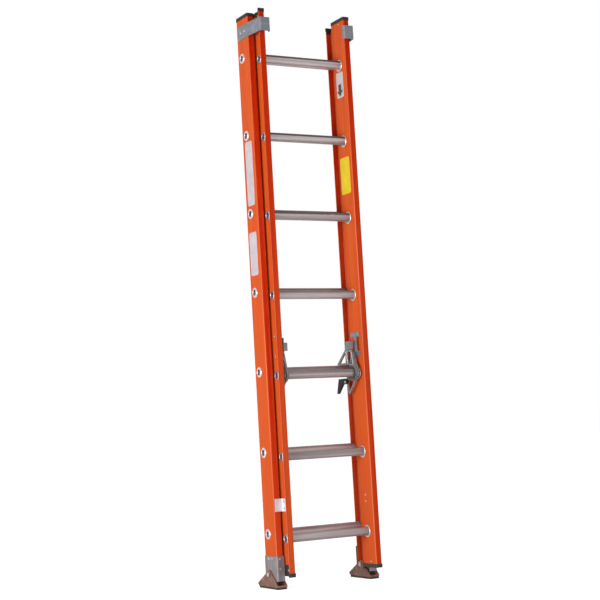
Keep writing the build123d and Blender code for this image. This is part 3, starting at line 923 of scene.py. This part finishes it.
@dataclass
class RolledEnds:
    """Rings rolled into a section's rungs: the lips at their ends, or the beads against the webs."""

    name: str
    section: str
    radius: float = 13.5 * MM
    roll: float = 1.9 * MM
    flatness: float = 0.75
    inset: float = 0.0
    turns: int = 48
    rolls: int = 12

    def build(self, shop: PaintShop) -> None:
        """Makes all the rings as one piece.

        Each ring is a small ellipse, of the roll's size and flatness, carried round a circle of the ring's
        radius about the rung's axis, inset from the end of the rung.

        Args:
            shop: the maker of materials.
        """
        turn = np.linspace(0.0, 2 * math.pi, self.turns, endpoint=False)[:, None]
        roll = np.linspace(0.0, 2 * math.pi, self.rolls, endpoint=False)[None, :]
        ring = self.radius + self.roll * np.cos(roll)
        depth = self.roll * self.flatness * np.sin(roll) + 0 * turn
        around = np.stack([depth, ring * np.cos(turn), ring * np.sin(turn)], axis=-1)
        centres = []
        for number in range(1, RUNGS + 1):
            low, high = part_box(f"{self.section}_rung_{number}")
            middle = (low + high) / 2
            centres.append((low.x + self.inset, middle.y, middle.z))
            centres.append((high.x - self.inset, middle.y, middle.z))
        grid = around[None] + np.array(centres)[:, None, None, :]
        piece = surface(self.name, grid, closed_u=True, closed_v=True)
        place(piece, self.section, shop.material(FINISHES["ring"]))


@dataclass
class CastRib:
    """A raised rib on one face of a lock casting, round a window or along two struts."""

    name: str
    body: str
    bush: str
    face: float
    outward: int
    corners: Outline
    closed: bool
    width: float = 2.4 * MM
    height: float = 1.5 * MM
    steps: int = 240
    softening: int = 9
    taper: float = 5.0 * MM
    end_width: float = 0.3
    columns: int = 9

    def _path(self) -> tuple[np.ndarray, np.ndarray]:
        """Walks the corners at an even pace and softens each point to the mean of its neighbours.

        Returns:
            The points in Y and Z, and each one's share of the rib's full height, which falls to nothing at
            the ends of an open rib.
        """
        low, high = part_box(self.bush)
        middle = (low + high) / 2
        points = np.array(self.corners) * MM + np.array([middle.y, middle.z])
        if self.closed:
            points = np.vstack([points, points[:1]])
        walked = np.concatenate([[0.0], np.cumsum(np.hypot(*np.diff(points, axis=0).T))])
        along = np.linspace(0.0, walked[-1], self.steps, endpoint=not self.closed)
        line = np.stack([np.interp(along, walked, points[:, k]) for k in (0, 1)], axis=-1)
        reach = self.softening // 2
        if self.closed:
            padded = np.vstack([line[-reach:], line, line[:reach]])
        else:
            padded = np.vstack([np.repeat(line[:1], reach, 0), line, np.repeat(line[-1:], reach, 0)])
        window = np.lib.stride_tricks.sliding_window_view(padded, self.softening, axis=0)
        share = np.minimum(along, walked[-1] - along) / self.taper
        return window.mean(axis=-1), np.ones_like(share) if self.closed else np.clip(share, 0.0, 1.0)

    def build(self, shop: PaintShop) -> None:
        """Makes the rib.

        Half an ellipse, as wide as the rib and as high, is carried along the softened path and stands on
        the casting's face. Towards the ends of an open rib it narrows to the end width's share.

        Args:
            shop: the maker of materials.
        """
        line, share = self._path()
        ahead, behind = np.roll(line, -1, axis=0), np.roll(line, 1, axis=0)
        if not self.closed:
            ahead[-1], behind[0] = line[-1], line[0]
        run = ahead - behind
        run /= np.linalg.norm(run, axis=1, keepdims=True)
        beside = np.stack([-run[:, 1], run[:, 0]], axis=-1)
        angle = np.linspace(0.0, math.pi, self.columns)[None, :]
        spread = np.cos(angle) * self.width / 2 * np.maximum(share, self.end_width)[:, None]
        stand = np.sin(angle) * self.height * share[:, None]
        flat = line[:, None, :] + spread[..., None] * beside[:, None, :]
        grid = np.concatenate([(self.face + self.outward * stand)[..., None], flat], axis=-1)
        if self.outward > 0:
            grid = grid[:, ::-1]
        piece = surface(self.name, grid[None], closed_u=self.closed)
        place(piece, self.body, shop.material(FINISHES["lock_rib"]))


@dataclass
class LockDress:
    """The cast ribs of one lock: round the hook's two windows, and along the frame's outer struts.

    The outlines are Y and Z in millimetres from the axis of the lock's bush.
    """

    side: str
    sign: int
    hook_plate: float = 5.0 * MM
    hook_window: Outline = ((39.0, 87.5), (44.5, 87.5), (97.0, 38.0), (31.0, 38.0))
    hook_throat: Outline = ((-2.0, 87.5), (30.5, 87.5), (26.0, 34.5), (-13.0, 31.5))
    frame_jaw: Outline = ((-18.0, -25.0), (38.5, -77.0), (49.5, -28.0))
    frame_crown: Outline = ((-32.0, 3.0), (0.0, 70.0), (21.0, 31.0))

    def build(self, shop: PaintShop) -> None:
        """Makes the lock's four ribs.

        Args:
            shop: the maker of materials.
        """
        hook_low, hook_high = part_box(f"lock_hook_{self.side}")
        frame_low, frame_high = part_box(f"lock_frame_{self.side}")
        hook_face = hook_high.x - self.hook_plate if self.sign > 0 else hook_low.x + self.hook_plate
        frame_face = frame_high.x if self.sign > 0 else frame_low.x
        lock, bush = f"lock_{self.side}", f"lock_bush_{self.side}"
        for part, corners in (("window", self.hook_window), ("throat", self.hook_throat)):
            name = f"{lock}_hook_{part}_rib"
            CastRib(name, lock, bush, hook_face, -self.sign, corners, closed=True).build(shop)
        for part, corners in (("jaw", self.frame_jaw), ("crown", self.frame_crown)):
            name = f"{lock}_frame_{part}_rib"
            CastRib(name, "fly", bush, frame_face, self.sign, corners, closed=False).build(shop)


@dataclass(frozen=True)
class Softbox:
    """A square soft lamp that faces the middle of the ladder."""

    name: str
    spot: tuple[float, float, float]
    size: float
    watts: float
    aim: tuple[float, float, float] = (0.0, 0.0, 1.1)

    def build(self) -> None:
        """Hangs the lamp."""
        data = bpy.data.lights.new(self.name, "AREA")
        data.size = self.size
        data.energy = self.watts
        lamp = bpy.data.objects.new(self.name, data)
        bpy.context.scene.collection.objects.link(lamp)
        spot = Vector(self.spot)
        turned = (Vector(self.aim) - spot).to_track_quat("-Z", "Y").to_matrix().to_4x4()
        lamp.matrix_world = Matrix.Translation(spot) @ turned


@dataclass
class Studio:
    """The plain floor, the soft lights, the world and a camera fitted to the photograph's view."""

    camera_x: float = -2.6524
    camera_ahead: float = 4.7089
    camera_z: float = 0.5801
    yaw: float = 0.50438
    pitch: float = 0.09313
    roll: float = -0.05761
    focal_pixels: float = 1406.28
    clip_end: float = 200.0
    floor_size: float = 60.0
    floor_colour: Colour = (0.86, 0.86, 0.86)
    floor_roughness: Span = (0.75, 0.85)
    floor_specular: float = 0.1
    floor_cloud_scale: float = 1.5
    floor_glow: float = 0.66
    world_fill: float = 0.42
    lamps: tuple[Softbox, ...] = (
        Softbox("key_softbox", spot=(-4.6, -2.0, 1.0), size=2.4, watts=240.0),
        Softbox("front_softbox", spot=(-1.1, -2.6, 0.3), size=1.2, watts=26.0),
        Softbox("right_softbox", spot=(4.0, 1.5, 2.2), size=2.5, watts=20.0),
    )

    def build(self) -> None:
        """Makes the camera, the world, the floor and the lamps."""
        scene = bpy.context.scene
        scene.view_settings.view_transform = "Standard"
        self._camera(scene)
        self._world(scene)
        self._floor()
        for lamp in self.lamps:
            lamp.build()

    def _camera(self, scene: bpy.types.Scene) -> None:
        """Places the camera by yaw, pitch and roll, ahead of the base rails' front faces."""
        sin, cos = math.sin, math.cos
        forward = Vector(
            (sin(self.yaw) * cos(self.pitch), cos(self.yaw) * cos(self.pitch), sin(self.pitch))
        )
        level = Vector((cos(self.yaw), -sin(self.yaw), 0.0))
        above = level.cross(forward)
        right = cos(self.roll) * level + sin(self.roll) * above
        up = cos(self.roll) * above - sin(self.roll) * level
        data = bpy.data.cameras.new("photo_camera")
        data.sensor_width = SENSOR_MM
        data.lens = self.focal_pixels / PHOTO_PIXELS * SENSOR_MM
        data.clip_end = self.clip_end
        camera = bpy.data.objects.new("photo_camera", data)
        scene.collection.objects.link(camera)
        base_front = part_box("base_rail_left")[0].y
        turned = Matrix((right, up, -forward)).transposed().to_4x4()
        spot = Vector((self.camera_x, base_front - self.camera_ahead, self.camera_z))
        camera.matrix_world = Matrix.Translation(spot) @ turned
        scene.camera = camera

    @staticmethod
    def _seen(graph: Graph) -> bpy.types.NodeSocket:
        """A mask of the rays that come from the camera, a reflection or glass."""
        path = graph.node("ShaderNodeLightPath").outputs
        seen = graph.math("MAXIMUM", path["Is Camera Ray"], path["Is Glossy Ray"])
        return graph.math("MAXIMUM", seen, path["Is Transmission Ray"])

    def _world(self, scene: bpy.types.Scene) -> None:
        """White to the camera and in reflections, and a softer fill on the object."""
        world = bpy.data.worlds.new("studio_world")
        world.use_nodes = True
        scene.world = world
        graph = Graph(world.node_tree)
        strength = graph.remap(self._seen(graph), WHOLE, (self.world_fill, 1.0))
        back = graph.node("ShaderNodeBackground", {"Color": WHITE, "Strength": strength})
        graph.node("ShaderNodeOutputWorld", {"Surface": back.outputs["Background"]})

    def _floor(self) -> None:
        """A pale floor at the soles."""
        line = np.array([-self.floor_size / 2, self.floor_size / 2])
        x, y = np.meshgrid(line, line, indexing="ij")
        floor = surface("studio_floor", np.stack([x, y, np.zeros_like(x)], axis=-1)[None])
        material = bpy.data.materials.new("studio_floor_paint")
        material.use_nodes = True
        graph = Graph(material.node_tree)
        spot = graph.node("ShaderNodeTexCoord").outputs["Object"]
        cloud = graph.noise(spot, self.floor_cloud_scale, 2.0)
        shader = graph.node(
            "ShaderNodeBsdfPrincipled",
            {
                "Base Color": (*self.floor_colour, 1.0),
                "Roughness": graph.remap(cloud, NOISE_SPAN, self.floor_roughness),
                "Specular IOR Level": self.floor_specular,
                "Emission Color": WHITE,
                "Emission Strength": graph.math("MULTIPLY", self._seen(graph), self.floor_glow),
            },
        )
        graph.node("ShaderNodeOutputMaterial", {"Surface": shader.outputs["BSDF"]})
        floor.data.materials.append(material)


# Nodes whose finish isn't their record slot's, by name without a rung's number.
OWN_FINISH = {"fly_guide_left": "fly_guide", "fly_guide_right": "fly_guide", "base_rung": "base_rung"}
RUNG_NUMBERS = "1234567_"


@dataclass
class Ladder:
    """The whole ladder: the CAD nodes with their finishes, and the pieces laid on them."""

    frame: dict
    shop: PaintShop
    bead_radius: float = 21.0 * MM
    bead_roll: float = 2.2 * MM
    bead_flatness: float = 1.0
    bead_inset: float = 9.85 * MM

    def paint(self) -> None:
        """Gives every CAD node the finish of its record slot, or its own."""
        for entry in self.frame["record"]["subparts"]:
            node = self.frame["nodes"][entry["node"]]
            finish = OWN_FINISH.get(entry["node"].rstrip(RUNG_NUMBERS), entry["material_slot"])
            material = self.shop.material(FINISHES[finish])
            if node.material_slots:
                for held in node.material_slots:
                    held.material = material
            else:
                node.data.materials.append(material)
            LOG.info("%s has the finish %s", entry["node"], finish)

    def label(self) -> None:
        """Lays the blank labels and the arrow on the rails' webs."""
        for label in LABELS:
            label.build(self.shop)

    def roll_ends(self) -> None:
        """Adds the rolled lips at the rung ends of both sections, and the beads against the webs."""
        for section in ("base", "fly"):
            RolledEnds(f"{section}_rung_lips", section).build(self.shop)
            RolledEnds(
                f"{section}_rung_beads",
                section,
                radius=self.bead_radius,
                roll=self.bead_roll,
                flatness=self.bead_flatness,
                inset=self.bead_inset,
            ).build(self.shop)

    def rib_locks(self) -> None:
        """Adds the cast ribs of both locks."""
        for side, sign in (("left", -1), ("right", 1)):
            LockDress(side, sign).build(self.shop)


def main() -> None:
    """Loads the frame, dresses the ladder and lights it."""
    logging.basicConfig(level=logging.INFO, format="%(name)s: %(message)s")
    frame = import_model()
    ladder = Ladder(frame, PaintShop())
    ladder.paint()
    ladder.label()
    ladder.roll_ends()
    ladder.rib_locks()
    Studio().build()


if __name__ == "__main__":
    main()
